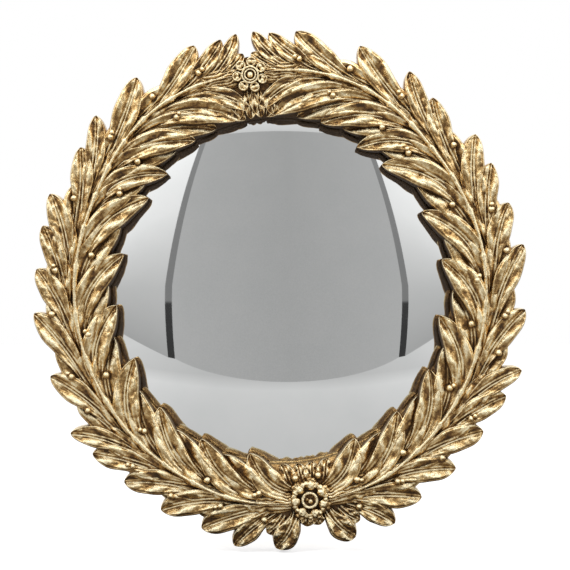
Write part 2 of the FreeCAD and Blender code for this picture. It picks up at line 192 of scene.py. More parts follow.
def grid_faces(rows, cols, wrap):
    """Quads of a grid of points; wrap joins its last column to the first."""
    last = cols if wrap else cols - 1
    r, c = np.meshgrid(np.arange(rows - 1), np.arange(last), indexing="ij")
    n = (c + 1) % cols
    quads = np.stack([r * cols + c, r * cols + n, (r + 1) * cols + n, (r + 1) * cols + c], -1)
    return quads.reshape(-1, 4).tolist()


def mirrored(shell):
    """The same shell on the left branch."""
    points, faces, relief = shell
    return points * np.array([-1, 1, 1]), [face[::-1] for face in faces], relief


def shell_of(points, relief, wrap, caps=()):
    """Shell from a (rows, cols, 3) grid; caps names the rows that are closed by one face."""
    rows, cols = points.shape[:2]
    faces = grid_faces(rows, cols, wrap)
    for row in caps:
        rim = [row % rows * cols + c for c in range(cols)]
        faces.append(rim if row else rim[::-1])
    return points.reshape(-1, 3), faces, np.broadcast_to(relief, (rows, cols)).reshape(-1).copy()


def stacked(shells):
    """Several shells as one."""
    faces, start = [], 0
    for points, own, _ in shells:
        faces += [[i + start for i in face] for face in own]
        start += len(points)
    return np.vstack([s[0] for s in shells]), faces, np.concatenate([s[2] for s in shells])


def piece(name, shell, material, body, nodes):
    """Mesh object from a shell: rides on the body, stands for the CAD nodes."""
    points, faces, relief = shell
    mesh = bpy.data.meshes.new(name)
    mesh.from_pydata(placed(points).tolist(), [], faces)
    wear_and_shade = mesh.attributes.new("relief", "FLOAT", "POINT")
    wear_and_shade.data.foreach_set("value", relief.astype(np.float32))
    mesh.shade_smooth()
    mesh.materials.append(material)
    mesh.update()
    made = bpy.data.objects.new(name, mesh)
    bpy.context.scene.collection.objects.link(made)
    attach(made, body)
    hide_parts(*nodes)


# ---------------------------------------------------------------- the laurel
LEAF_ROWS, LEAF_COLS = ((58, 45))


def leaf_share(s, peak, outer):
    """Half width of a leaf along its length, 0 foot to 1 tip, as a share of full."""
    u = np.clip(s / peak, 0, 1)
    grow = u * u * (3 - 2 * u) if outer else np.sin(pi / 2 * u) ** 1.2
    v = np.clip((s - peak) / (1 - peak), 0, 1)
    return np.where(s < peak, FOOT_SHARE + (1 - FOOT_SHARE) * grow,
                    np.maximum(TIP_SHARE, (1 - v ** 2.2) ** 0.62))


def leaf(row, outer, seed, drop=0.0):
    """One cast leaf: two lobes that slope into a twin-ribbed valley, veins, rim and drafted sides."""
    foot_angle, foot_out, tip_angle, tip_out, width, lift = row
    rng = np.random.default_rng(seed)
    vein_height, flute_height, bulge, beat = rng.uniform(*FORM_HEIGHTS)
    folds, phase = rng.uniform(*FOLDS)
    foot, tip = on_branch(foot_angle, foot_out), on_branch(tip_angle, tip_out)
    heading = radians(foot_angle + (-lift if outer else lift))
    pull = 0.5 * hypot(tip[0] - foot[0], tip[1] - foot[1])
    knee = foot[0] + pull * cos(heading), foot[1] + pull * sin(heading)

    # midrib and half width along the leaf
    s = 1 - (1 - np.linspace(0, 1, LEAF_ROWS)[:, None]) ** 1.35
    line = [(1 - s) ** 2 * a + 2 * s * (1 - s) * b + s * s * c for a, b, c in zip(foot, knee, tip)]
    run = [(1 - s) * (b - a) + s * (c - b) for a, b, c in zip(foot, knee, tip)]
    length = np.hypot(*run)
    upper = np.clip(4 * s - 1, 0, 1)
    half = width / 2 * leaf_share(s, OUTER_PEAK if outer else INNER_PEAK, outer)
    half = half * (1 + 0.035 * np.sin(2 * pi * (2.3 * s + phase)) * upper)
    ends = np.where(s < 0.5, FOOT_DEPTH, TIP_DEPTH)
    fall = OUTER_FALL if outer else INNER_FALL
    edge = ends + (EDGE_DEPTH - ends) * np.sin(pi * s) - fall * s * s - drop
    rise = LOBE_RISE * (2 * half / FULL_WIDTH) + LOBE_FLOOR

    # places across the leaf, closer together near its edges
    t = np.linspace(-1, 1, LEAF_COLS)[None, :]
    t = 0.55 * np.sin(pi / 2 * t) + 0.45 * t
    side = np.abs(t)
    x = side * half
    u, v = line[0] - run[1] / length * t * half, line[1] + run[0] / length * t * half
    middle = 4 * side * (1 - side)
    calm = np.clip(half * (1 - side) / 1.2, 0, 1)

    # relief of the face
    climb = side / LOBE_PLACE
    slope = VALLEY + (1 - VALLEY) * (0.5 * climb + 0.5 * np.sin(pi / 2 * np.clip(climb, 0, 1)))
    roll = np.clip(1 - ((side - LOBE_PLACE) / (1 - LOBE_PLACE)) ** 2, 0, 1) ** 0.75
    pillow = np.where(side < LOBE_PLACE, slope, roll)
    rib_place, fade = RIB_INSET + RIB_SPREAD * (1 - s), 1 - s ** 5
    ribs = bell(x, rib_place, RIB_WIDTH) * fade
    groove = (bell(x, 0, 0.28) * 0.4 + bell(x, rib_place + 1.0, 0.4) * 0.35) * fade
    crossing = folds * s - 0.8 * side + phase + 0.4 * (t > 0)
    bulges = np.sin(2 * pi * crossing) * middle * bulge * upper
    veins = np.abs(np.sin(pi * (7.5 * s - 1.1 * side))) ** 0.7 * middle * vein_height * upper
    flutes = np.cos(5 * pi * side) * flute_height * np.clip(1 - 1.7 * s, 0, 1) * calm
    inset = half * (1 - side)
    rim = bell(inset, RIM_INSET, RIM_WIDTH) * RIM_HEIGHT
    rim = (rim - bell(inset, RIM_GROOVE_INSET, RIM_WIDTH) * RIM_GROOVE) * upper
    beaten = swell(u, v, COARSE_BEATING[0], seed) * COARSE_BEATING[1]
    beaten = beaten + swell(u, v, MIDDLE_BEATING, seed + 3) * beat
    beaten = (beaten + swell(u, v, FINE_BEATING[0], 1) * FINE_BEATING[1]) * calm
    front = edge + rise * pillow + RIB_HEIGHT * ribs - groove - veins + flutes + rim
    front = front + bulges + beaten

    # how rubbed the gold is, with a painted highlight on raised forms and wax with painted shade in
    # grooves and veins: each form counts by its own weight
    relief = 0.55 + 0.25 * pillow + 0.8 * ribs + 1.1 * rim + 0.75 * flutes + 0.6 * beaten
    relief = relief + 0.65 * bulges - 0.7 * groove - 0.9 * veins - 0.4 * (1 - calm)

    # drafted walls down to the flat back
    step = BACK_STEP * (seed % 5) + 0.5 * drop
    flare = SIDE_DRAFT * 2 * half / FULL_WIDTH
    walls = []
    for hand, steps in ((-1, (1.0, 0.55, 0.12)), (1, (0.12, 0.55, 1.0))):
        for k in steps:
            reach = hand * (half + flare * k)
            wu, wv = line[0] - run[1] / length * reach, line[1] + run[0] / length * reach
            over = np.minimum(np.hypot(wu, wv), SIGHT_RADIUS)
            back = step + (OUTER_BACK if outer else glass_front(over) + GLASS_CLEARANCE)
            walls.append(np.stack([wu, wv, edge + (back - edge) * k], -1))
    grid = np.concatenate(walls[:3] + [np.stack([u, v, front], -1)] + walls[3:], axis=1)
    # walls next to the glass carry painted shade
    wall_relief = np.full((LEAF_ROWS, 3), WALL if outer else SHADED_GLASS_WALL)
    return shell_of(grid, np.hstack([wall_relief, relief, wall_relief]), True, caps=(0, -1))


def under_leaves(rows, tip_out):
    """Rows for the lower leaves that show between neighbours and cover the ring."""
    found = []
    for (a0, r0, a1, _, w0, lift), (b0, r1, b1, _, w1, _) in zip(rows, rows[1:]):
        width = 0.5 * (w0 + w1) + UNDER_WIDER
        found.append(((a0 + b0) / 2, (r0 + r1) / 2, (a1 + b1) / 2, tip_out, width, lift))
    return found


def smooth_line(line, count):
    """Even (angle, distance) points on a soft curve through the given ones."""
    line = np.array(line, float)
    padded = np.vstack([2 * line[0] - line[1], line, 2 * line[-1] - line[-2]])
    at = np.linspace(0, len(line) - 1 - 1e-9, count)
    i, f = at.astype(int), (at % 1)[:, None]
    p0, p1, p2, p3 = (padded[i + k] for k in range(4))
    return 0.5 * (2 * p1 + (p2 - p0) * f + (2 * p0 - 5 * p1 + 4 * p2 - p3) * f ** 2
                  + (3 * p1 - p0 - 3 * p2 + p3) * f ** 3)


def both_branches(rows, outer, seed):
    """The rows' leaves on the right branch, then on the left one, where they are beaten otherwise."""
    right = [leaf(row, outer, seed + i) for i, row in enumerate(rows)]
    seed += OTHER_BRANCH
    return right + [mirrored(leaf(row, outer, seed + i)) for i, row in enumerate(rows)]


def stem():
    """Rounded rod along the branch, swelling at each node where leaves spring from it."""
    crest, base = STEM_CREST + 0.6, RING_CROWN - 1
    path = smooth_line(STEM_LINE, STEM_STATIONS)
    along = np.linspace(0, 1, STEM_STATIONS)[:, None]
    turn = np.linspace(0, pi, 13)[None, :]
    node, peak = (along * STEM_NODES) % 1, 0.86
    node = np.where(node < peak, node / peak, (1 - node) / (1 - peak))
    wide = STEM_HALF_WIDTH * (0.7 + 0.6 * node ** 2.5)
    wide = wide * np.clip(12 * np.minimum(along, 1 - along), 0.15, 1)
    out = path[:, 1:] + wide * np.cos(turn) * 1.25
    depth = base + (crest - base + 0.35 * node ** 3) * np.sin(turn) ** 0.7
    depth = depth + swell(path[:, :1] * 2, turn * 3, 1.1, 5) * 0.25
    u, v = on_branch(path[:, :1] + 0 * turn, out)
    # pale crest and darker sides: rubbed gold with a painted highlight, and painted shade
    relief = 1.1 * np.sin(turn) ** 0.6 + swell(path[:, :1] * 2, turn * 3, 1.3, 8) * 0.3
    return shell_of(np.stack([u, v, depth], -1), relief, False)


def fluted_mound(start, stop, out, near):
    """Bundle of ridges that fans out from a rosette and sinks between the first leaves."""
    crest = STEM_CREST - 0.9
    path = smooth_line([(start, out), ((start + stop) / 2, out + 0.5), (stop, out + 1.0)], 90)
    along, across = np.linspace(0, 1, 90)[:, None], np.linspace(-1, 1, 81)[None, :]
    wide = near + (MOUND_WIDE - near) * along
    out = path[:, 1:] + wide * across
    bend = across + 0.14 * swell(path[:, :1] * 0.8, across * 2, 1.1, 5) + 0.1 * np.sin(5 * along)
    ridge = np.abs(np.cos(MOUND_RIDGES / 2 * pi * bend)) ** 0.8
    body = (1 - across ** 2) ** 0.3 * (1 - along ** 4) ** 0.5
    u, v = on_branch(path[:, :1] + 0 * across, out)
    depth = RING_CROWN - 1 + (crest - RING_CROWN + 1 - 0.9 * (1 - ridge)) * body
    depth = depth + (swell(u, v, 2.6, 3) * 0.35 + swell(u, v, 1.1, 4) * 0.2) * body
    relief = 0.45 + 0.45 * ridge * body + swell(u, v, 2.2, 8) * 0.35
    return shell_of(np.stack([u, v, depth], -1), relief, False)


def berry(angle, out, seed, share=1.0):
    """Small ball with a pip on top, a little uneven like the cast ones."""
    rng = np.random.default_rng(seed)
    size = share * BERRY_RADIUS * rng.uniform(0.88, 1.06)
    u, v = on_branch(angle, out)
    turn = np.linspace(0, 2 * pi, 20, endpoint=False)[None, :]
    fall = np.linspace(0.02, 0.8 * pi, 14)[:, None]
    reach = size * (1 + 0.05 * np.sin(3 * turn + seed) * np.sin(fall)) * np.sin(fall)
    depth = BERRY_TOP - size + size * np.cos(fall) + 0.28 * bell(fall, 0, 0.35) + 0 * turn
    points = np.stack([u + reach * np.cos(turn), v + reach * np.sin(turn), depth], -1)
    mottle = swell(points[..., 0], points[..., 1], 0.9, 6) * 0.2
    # paler on top, darker toward its foot: a rubbed top and painted shade
    return shell_of(points, 1.0 - 1.05 * fall / pi + mottle, True, caps=(0,))


def sprig_of_berries(seed):
    """All berries of one branch, some with a smaller twin beside them."""
    found = []
    for i, (angle, out) in enumerate(BERRIES):
        found.append(berry(angle, out, seed + i))
        if i % 2:
            found.append(berry(angle + 1.15, out + 1.2, seed + 100 + i, 0.78))
    return found


def dome(x, y, bumps, floor):
    """Height over the plane of a cluster of balls (x, y, radius, top)."""
    height = np.full(np.broadcast(x, y).shape, float(floor))
    for bx, by, radius, top in bumps:
        inside = radius ** 2 - (x - bx) ** 2 - (y - by) ** 2
        ball = top - radius + np.sqrt(np.maximum(inside, 0))
        height = np.maximum(height, np.where(inside > 0, ball, floor))
    return height


def petal(a, balls):
    """Bumps of one petal at angle a, from (outward, sideways, radius, below the crest)."""
    bumps = []
    for out, aside, radius, below in balls:
        for hand in (-1, 1) if aside else (1,):
            x, y = out * cos(a) - hand * aside * sin(a), out * sin(a) + hand * aside * cos(a)
            bumps.append((x, y, radius, ROSETTE_FRONT - below))
    return bumps


def rosette(angle, out, size, petals, balls, curl, rings, beads):
    """Flower in relief: beads inside raised rings, inside lumpy petals or ones with curled rims."""
    rows, cols = ((90, 260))
    rho = np.linspace(0.01, 1.0, rows)[:, None] * size
    phi = np.linspace(0, 2 * pi, cols, endpoint=False)[None, :]
    x, y = rho * np.cos(phi), rho * np.sin(phi)
    floor = RING_CROWN - 0.5
    turns = [2 * pi * (i + 0.5) / petals for i in range(petals)]
    curls = [(rho, at, thick, 0.0) for at, thick in rings]
    bumps = list(beads)
    for a in turns:
        bumps += petal(a, balls)
        if curl:
            place = balls[0][0]
            curls.append((np.hypot(x - place * cos(a), y - place * sin(a)), curl, 0.5, 0.9))
    height = dome(x, y, bumps, floor)
    height = np.maximum(height, np.where(rho < rings[0][0], ROSETTE_FRONT - 2.6, floor))
    for distance, at, thick, below in curls:
        inside = thick ** 2 - (distance - at) ** 2
        top = ROSETTE_FRONT - below - thick + np.sqrt(np.maximum(inside, 0))
        height = np.maximum(height, np.where(inside > 0, top, floor))
    height = height + swell(x + 50, y + 50, 1.1, 7) * (0.2 if curl else 0.4)
    u, v = on_branch(angle, out)
    # paler on the tops, darker down in the gaps: rubbed gold, and wax with painted shade
    relief = np.clip((height - ROSETTE_FRONT + 3.6) / 2.9, 0.05, 1.15)
    relief = relief + swell(x + 50, y + 50, 0.9, 2) * 0.15
    return shell_of(np.stack([u + x, v + y, height], -1), relief, True, caps=(0,))


def ring():
    """The moulded ring that carries the leaves, with its lip, hammered ground and stepped back."""
    lip_back = glass_front(SIGHT_RADIUS) + CONTACT_GAP
    lip = [(SIGHT_RADIUS + over, lip_back + up)
           for over, up in ((0, 0), (-0.1, 1.2), (0.1, 2.2), (0.8, 3.2), (2.0, 4.2))]
    lip.append((SIGHT_RADIUS + 3.4, RING_CROWN - 0.8))
    front = [(SIGHT_RADIUS + 5, RING_CROWN - EASED)]
    front += [(r, RING_CROWN) for r in np.linspace(SIGHT_RADIUS + 7, CASTING_RADIUS - 2, 20)]
    side = [(CASTING_RADIUS - inset, RING_CROWN - below)
            for inset, below in ((0.8, EASED), (EASED, 0.8), (0, 1.6), (0, 8.2))]
    side += [(CASTING_RADIUS - inset, PAD_THICKNESS + over)
             for inset, over in ((0, 2.1), (0.5, 0.7), (1.5, 0))]
    rear = [(RIM_INNER + 2.5, PAD_THICKNESS), (RIM_INNER + EASED, PAD_THICKNESS),
            (RIM_INNER, PAD_THICKNESS + EASED), (RIM_INNER, LEDGE_DEPTH - EASED),
            (RIM_INNER - EASED, LEDGE_DEPTH), (RIM_INNER - 9, LEDGE_DEPTH),
            (BOARD_SEAT + EASED, LEDGE_DEPTH), (BOARD_SEAT, LEDGE_DEPTH + EASED),
            (BOARD_SEAT, BOARD_FRONT), (REBATE, BOARD_FRONT),
            (REBATE, glass_front(REBATE) + CONTACT_GAP)]
    profile = np.array(lip + front + side + rear)
    spokes = 720
    turn = np.linspace(0, 2 * pi, spokes, endpoint=False)[:, None]
    r, d = profile[:, 0][None, :], profile[:, 1][None, :]
    u, v = r * np.cos(turn), r * np.sin(turn)
    ground = np.zeros((1, len(profile)))
    ground[:, len(lip):len(lip) + len(front)] = 1
    ahead = (profile[:, 1] > OUTER_BACK + 1)[None, :]
    d = d + (swell(u, v, 3.0, 2) * 0.3 + swell(u, v, 1.2, 4) * 0.15) * ground
    d = d + swell(u, v, 4.0, 6) * 0.06 * ahead
    inner_band = np.clip((SIGHT_RADIUS + 12 - r) / 5, 0, 1) * ahead
    relief = 0.4 + 0.1 * inner_band + swell(u, v, 2.2, 9) * 0.15
    points, faces, relief = shell_of(np.stack([u, v, d], -1), relief, True)
    cols = len(profile)
    last = (spokes - 1) * cols
    faces += [[last + c, last + (c + 1) % cols, (c + 1) % cols, c] for c in range(cols)]
    return points, [face[::-1] for face in faces], relief


def settle(shells):
    """Lowers relief where a point lies below what stands round it, so that hollows go brown: wax
    and painted shade.
    """
    cell, reach = 0.6, 156.0       # of the height map that the points are held against
    blur, deep = 3.2, 3.2          # width of its surroundings, and depth that counts as full
    count = int(2 * reach / cell)
    centres = (np.arange(count) + 0.5) * cell - reach
    radius = np.hypot(centres[:, None], centres[None, :])
    ground = np.where(radius < SIGHT_RADIUS, 17.0, np.where(radius < CASTING_RADIUS, RING_CROWN, 9.0))
    for points, _, _ in shells:
        i = ((points[:, :2] + reach) / cell).astype(int)
        np.maximum.at(ground, (i[:, 0], i[:, 1]), points[:, 2])
    hill = bell(np.arange(-9, 10) * cell, 0, blur)
    hill /= hill.sum()
    for axis in (0, 1):
        ground = np.apply_along_axis(lambda line: np.convolve(line, hill, "same"), axis, ground)
    settled = []
    for points, faces, relief in shells:
        i = ((points[:, :2] + reach) / cell).astype(int)
        # painted shade in hollows and between overlapping parts, with the wax that lies there
        below = np.clip((ground[i[:, 0], i[:, 1]] - points[:, 2] + 0.3) / deep, 0, 1)
        shade = relief - 0.7 * below
        if points[:, 2].max() < BERRY_TOP - 0.4:       # painted shade round the foot of each berry
            for angle, out in BERRIES:
                u, v = on_branch(angle, out)
                for hand in (-1, 1):
                    away = np.hypot(points[:, 0] - hand * u, points[:, 1] - v)
                    shade -= 0.5 * bell(away, BERRY_RADIUS + 0.3, 0.7)
        kept = (relief == WALL) | (relief == SHADED_GLASS_WALL) | (points[:, 2] < OUTER_BACK)
        settled.append((points, faces, np.where(kept, relief, np.clip(shade, 0, MOST_RELIEF))))
    return settled


# ---------------------------------------------------------------- helpers for materials
def add(tree, kind, inputs=None, **settings):
    """New node; inputs are values or sockets to link from."""
    node = tree.nodes.new(kind)
    for key, value in settings.items():
        setattr(node, key, value)
    for socket, value in (inputs or {}).items():
        if isinstance(value, bpy.types.NodeSocket):
            tree.links.new(value, node.inputs[socket])
        else:
            node.inputs[socket].default_value = value
    return node


def noise(tree, scale, detail, stretch=(1, 1, 1)):
    """Noise over the object's own coordinates, in bumps per metre."""
    where = add(tree, "ShaderNodeTexCoord").outputs["Object"]
    spread = add(tree, "ShaderNodeMapping", {"Vector": where, "Scale": stretch}).outputs[0]
    return add(tree, "ShaderNodeTexNoise", {"Vector": spread, "Scale": scale, "Detail": detail,
                                            "Roughness": 0.55}).outputs["Fac"]


def ramp(tree, factor, stops):
    """Colour ramp from (place, colour or grey) stops."""
    node = add(tree, "ShaderNodeValToRGB", {"Fac": factor})
    points = node.color_ramp.elements
    while len(points) < len(stops):
        points.new(0.5)
    for point, (place, colour) in zip(points, stops):
        point.position = place
        point.color = (*colour, 1) if isinstance(colour, tuple) else (colour, colour, colour, 1)
    return node.outputs["Color"]


def maths(tree, operation, *values):
    """Result of a maths node over values or sockets."""
    return add(tree, "ShaderNodeMath", dict(enumerate(values)), operation=operation).outputs[0]


def times(tree, a, b):
    """Product of two colours, or of a colour and a number."""
    b = b if isinstance(b, bpy.types.NodeSocket) else (b, b, b)
    return add(tree, "ShaderNodeVectorMath", {0: a, 1: b}, operation="MULTIPLY").outputs[0]


def summed(tree, a, b, scale):
    """a + b * scale"""
    return maths(tree, "MULTIPLY_ADD", b, scale, a)


def material(name, **values):
    """Principled material; values set its own sockets."""
    made = bpy.data.materials.new(name)
    made.use_nodes = True
    shader = made.node_tree.nodes["Principled BSDF"]
    for socket, value in values.items():
        shader.inputs[socket.replace("_", " ")].default_value = value
    return made, made.node_tree, shader


def bumped(tree, shader, height, strength, distance):
    """Links a bump of the given depth in metres to the shader."""
    bump = add(tree, "ShaderNodeBump", {"Height": height, "Strength": strength, "Distance": distance})
    tree.links.new(bump.outputs["Normal"], shader.inputs["Normal"])


def feed(tree, shader, **links):
    """Links sources to the shader's sockets."""
    for socket, source in links.items():
        tree.links.new(source, shader.inputs[socket.replace("_", " ")])


def span(tree, value, low, high):
    """0 to 1 as the value goes from low to high."""
    return add(tree, "ShaderNodeMapRange", {"Value": value, 1: low, 2: high}).outputs[0]


# How much each of these adds to the relief value in how worn the gold looks, and the range of the
# sum that the tones are spread over. The upward share is painted light on what faces up and
# painted shade on what faces down.
UPWARD_PAINTED_LIGHT, PATCH_WEAR, GRAIN_WEAR, SPECK_WEAR = 0.5, 0.8, 0.75, 0.65
LOW_WEAR_AND_SHADE, HIGH_WEAR_AND_SHADE = 0.95, 2.19
# The palest tones are rubbed gold together with a painted highlight on the crests.
GILT_TONES = [(0.05, (0.055, 0.028, 0.009)), (0.25, (0.17, 0.085, 0.028)),
              (0.48, (0.50, 0.31, 0.12)), (0.7, (0.82, 0.60, 0.30)), (0.95, (1.0, 0.86, 0.56))]
GILT_BUMP = 0.00045            # metres


def gilt():
    """Antiqued gold leaf: pale rubbed crests with a painted highlight, wax and painted shade in
    hollows, painted light on what faces up and painted shade on what faces down.
    """
    made, tree, shader = material("gilt")
    relief = add(tree, "ShaderNodeAttribute", attribute_name="relief").outputs["Fac"]
    normal = add(tree, "ShaderNodeTexCoord").outputs["Normal"]
    upward = add(tree, "ShaderNodeSeparateXYZ", {0: normal}).outputs[2]
    patches, grain, specks = noise(tree, 170, 5), noise(tree, 800, 3), noise(tree, 1900, 2)
    # painted light from above: what faces up gets paler, what faces down darker
    wear_and_shade = summed(tree, summed(tree, relief, upward, UPWARD_PAINTED_LIGHT), patches, PATCH_WEAR)
    wear_and_shade = summed(tree, summed(tree, wear_and_shade, grain, GRAIN_WEAR), specks, SPECK_WEAR)
    wear_and_shade = span(tree, wear_and_shade, LOW_WEAR_AND_SHADE, HIGH_WEAR_AND_SHADE)
    tone = ramp(tree, wear_and_shade, GILT_TONES)
    # less metallic on the crests, so they stay pale under any light: part of the painted highlight
    metal = ramp(tree, wear_and_shade, [(0.1, 0.5), (0.4, 1.0), (0.75, 1.0), (0.95, 0.7)])
    matt = ramp(tree, wear_and_shade, [(0.1, 0.55), (0.4, 0.28), (0.85, 0.17)])
    feed(tree, shader, Base_Color=tone, Metallic=metal, Roughness=matt)
    rough = summed(tree, summed(tree, noise(tree, 420, 4), grain, 0.7), specks, 0.8)
    bumped(tree, shader, rough, 0.6, GILT_BUMP)
    return made


def silvered():
    """Silver behind clear glass: a clean mirror with the faintest drawn waviness."""
    made, tree, shader = material("silvered", Metallic=1.0)
    haze = noise(tree, 60, 3)
    tone = ramp(tree, haze, [(0.3, (0.90, 0.915, 0.91)), (0.7, (0.93, 0.94, 0.935))])
    feed(tree, shader, Base_Color=tone, Roughness=ramp(tree, haze, [(0.3, 0.012), (0.7, 0.03)]))
    bumped(tree, shader, noise(tree, 14, 1), 0.05, 0.0002)
    return made


def grained(name, scale, stops, rough, stretch=(1, 1, 1), depth=0.0002, **values):
    """Material with one noise that drives its colour, roughness and bump."""
    made, tree, shader = material(name, **values)
    grain = noise(tree, scale, 6, stretch)
    feed(tree, shader, Base_Color=ramp(tree, grain, stops),
         Roughness=ramp(tree, grain, [(0.3, rough[0]), (0.7, rough[1])]))
    bumped(tree, shader, grain, 0.4, depth)
    return made


gold = gilt()
mirror = silvered()
fibreboard = grained("fibreboard", 420, [(0.3, (0.20, 0.12, 0.065)), (0.7, (0.37, 0.25, 0.15))],
                     (0.7, 0.9))
foam = grained("foam", 1500, [(0.35, (0.025, 0.025, 0.027)), (0.65, (0.075, 0.075, 0.08))],
               (0.85, 0.95), depth=0.0004)
felt = grained("felt", 2600, [(0.3, (0.10, 0.10, 0.105)), (0.7, (0.22, 0.22, 0.225))], (0.9, 1.0),
               depth=0.0005, Sheen_Weight=0.4)
steel = grained("steel", 260, [(0.3, (0.52, 0.53, 0.55)), (0.7, (0.70, 0.71, 0.73))], (0.26, 0.42),
                stretch=(1, 6, 14), depth=0.00005, Metallic=1.0)
brass = grained("brass", 300, [(0.3, (0.62, 0.44, 0.16)), (0.7, (0.80, 0.62, 0.28))], (0.25, 0.4),
                stretch=(10, 4, 1), depth=0.00005, Metallic=1.0)

# ---------------------------------------------------------------- the casting
outer = both_branches(OUTER_LEAVES, True, OUTER_SEED)
inner = both_branches(INNER_LEAVES, False, INNER_SEED)
for rows, is_outer, group, tip_out in ((OUTER_LEAVES[3:-1], True, outer, OUTER_UNDER_TIP),
                                       (INNER_LEAVES, False, inner, INNER_UNDER_TIP)):
    for i, row in enumerate(under_leaves(rows, tip_out)):
        group.append(leaf(row, is_outer, UNDER_SEED + i, UNDER_DROP))
        group.append(mirrored(leaf(row, is_outer, UNDER_SEED + OTHER_BRANCH + i, UNDER_DROP)))
for row in FILLERS:
    inner.append(leaf(row, False, FILLER_SEED, FILLER_DROP))
    inner.append(mirrored(leaf(row, False, FILLER_SEED + 10, FILLER_DROP)))
sprigs = [stem()] + [fluted_mound(*mound) for mound in MOUNDS]
sprigs += [mirrored(shell) for shell in sprigs]
fruit = sprig_of_berries(0) + [mirrored(shell) for shell in sprig_of_berries(50)]
flowers = [rosette(**LOW_ROSETTE), rosette(**TOP_ROSETTE)]
groups = {"wreath_ring": [ring()], "outer_leaf_row": outer, "inner_leaf_row": inner,
          "branch_stems": sprigs, "laurel_berries": fruit, "rosettes": flowers}
everything = settle([shell for shells in groups.values() for shell in shells])
for name, shells in groups.items():
    own, everything = everything[:len(shells)], everything[len(shells):]
    piece(name, stacked(own), gold, "frame", ["wreath_frame"])


# ---------------------------------------------------------------- the glass
def bulged_glass():
    """Sheet of even thickness, fine enough for a clean reflection."""
    rings, spokes = ((72, 256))
    r = np.linspace(0.02, GLASS_RADIUS - 0.3, rings)
    fore = [(q, glass_front(q)) for q in r]
    rear = [(q, glass_front(q, GLASS_THICKNESS)) for q in r[::-1]]
    rim = [(GLASS_RADIUS - inset, GLASS_EDGE_FRONT - behind)
           for inset, behind in ((0.05, 0.05), (0, 0.4), (0, 2.6), (0.05, 2.9))]
    profile = np.array(fore + rim + rear)[:, None, :]
    turn = np.linspace(0, 2 * pi, spokes, endpoint=False)[None, :]
    points = np.stack([profile[..., 0] * np.cos(turn), profile[..., 0] * np.sin(turn),
                       profile[..., 1] + 0 * turn], -1)
    return shell_of(points, 1.0, True, caps=(0, -1))


piece("bulged_glass", bulged_glass(), mirror, "frame", ["convex_mirror"])

# ---------------------------------------------------------------- the back
finishes = {"backing_board": fibreboard, "foam_ring": foam, "wall_pads": felt, "hanger_strap": brass,
            "hanger_ring": brass, "hanger_screws": brass, "turn_button_screws": steel}
finishes.update({"turn_button_%d" % (i + 1): steel for i in range(4)})
for name, finish in finishes.items():
    for slot in frame["nodes"][name].material_slots:
        slot.material = finish

# ---------------------------------------------------------------- stage, metres
MIDDLE = -HANG_DROP / 1000     # height of the glass's middle; the origin is the wall hook
FLOOR = MIDDLE - 0.1512
# The light tent of glowing cards that the photograph shows in the glass: grey cloth in front with a
# narrow dark strip and a white screen on each side, side walls, top and floor. Cards show in
# reflections alone.
TOP, SIDE, TENT_NEAR, TENT_FAR = MIDDLE + 0.49, 0.62, 0.05, -0.8
LEFT, RIGHT, STRIP, STRIP_BEHIND, SCREEN_BEHIND = -0.232, 0.264, 0.020, 0.004, 0.24
CLOTH_NEAR, CLOTH_Y, LEAN_BACK, LEAN_FROM = -0.259, -0.355, -0.135, 0.24
CARD_LIFT = 0.0004             # floor card above the floor
SIDE_GLOW, TOP_GLOW, FLOOR_GLOW = 2.4, 2.5, 1.32
CLOTH_STEPS = 16
AMBIENT = 0.6                  # world's strength on surfaces
FLOOR_HALF, FLOOR_SHINE = 4.0, 0.6
CAMERA_LENS, CAMERA_PLACE = 129.2, (0.00265, -1.2, MIDDLE + 0.0031)


def emissive(name, colour_of):
    """Material that glows with a colour worked out by colour_of(tree)."""
    made = bpy.data.materials.new(name)
    made.use_nodes = True
    tree = made.node_tree
    tree.nodes.clear()
    glow = add(tree, "ShaderNodeEmission", {"Color": colour_of(tree)})
    out = add(tree, "ShaderNodeOutputMaterial")
    tree.links.new(glow.outputs[0], out.inputs["Surface"])
    return made


def axis_of(tree, axis):
    """Coordinate of the point, in metres."""
    where = add(tree, "ShaderNodeTexCoord").outputs["Object"]
    return add(tree, "ShaderNodeSeparateXYZ", {0: where}).outputs[axis]


def cloth_tone(tree):
    """Grey linen hung in front of the mirror, a little darker in the middle."""
    wide = span(tree, axis_of(tree, 0), LEFT, RIGHT)
    base = ramp(tree, wide, [(0.0, 0.43), (0.5, 0.375), (1.0, 0.43)])
    thread = ramp(tree, noise(tree, 500, 2), [(0.3, 0.95), (0.7, 1.05)])
    return times(tree, base, thread)


def screen_tone(tree):
    """White screens beside the cloth, brighter upward."""
    high = span(tree, axis_of(tree, 2), FLOOR, TOP)
    return ramp(tree, high, [(0.0, 0.38), (0.24, 0.52), (0.57, 0.83), (1.0, 1.0)])


def side_tone(tree):
    """Side walls, which hardly show in the glass: softboxes above, dark below."""
    high = span(tree, axis_of(tree, 2), FLOOR, TOP)
    near = span(tree, axis_of(tree, 1), -0.55, -0.05)
    band = ramp(tree, near, [(0.0, 0.37), (0.16, 0.37), (0.36, 1.0), (0.7, 1.0), (0.8, 0.05),
                             (1.0, 0.4)])
    fall = ramp(tree, high, [(0.0, 0.02), (0.22, 0.1), (0.34, 0.9), (1.0, 1.0)])
    return times(tree, times(tree, band, fall), SIDE_GLOW)


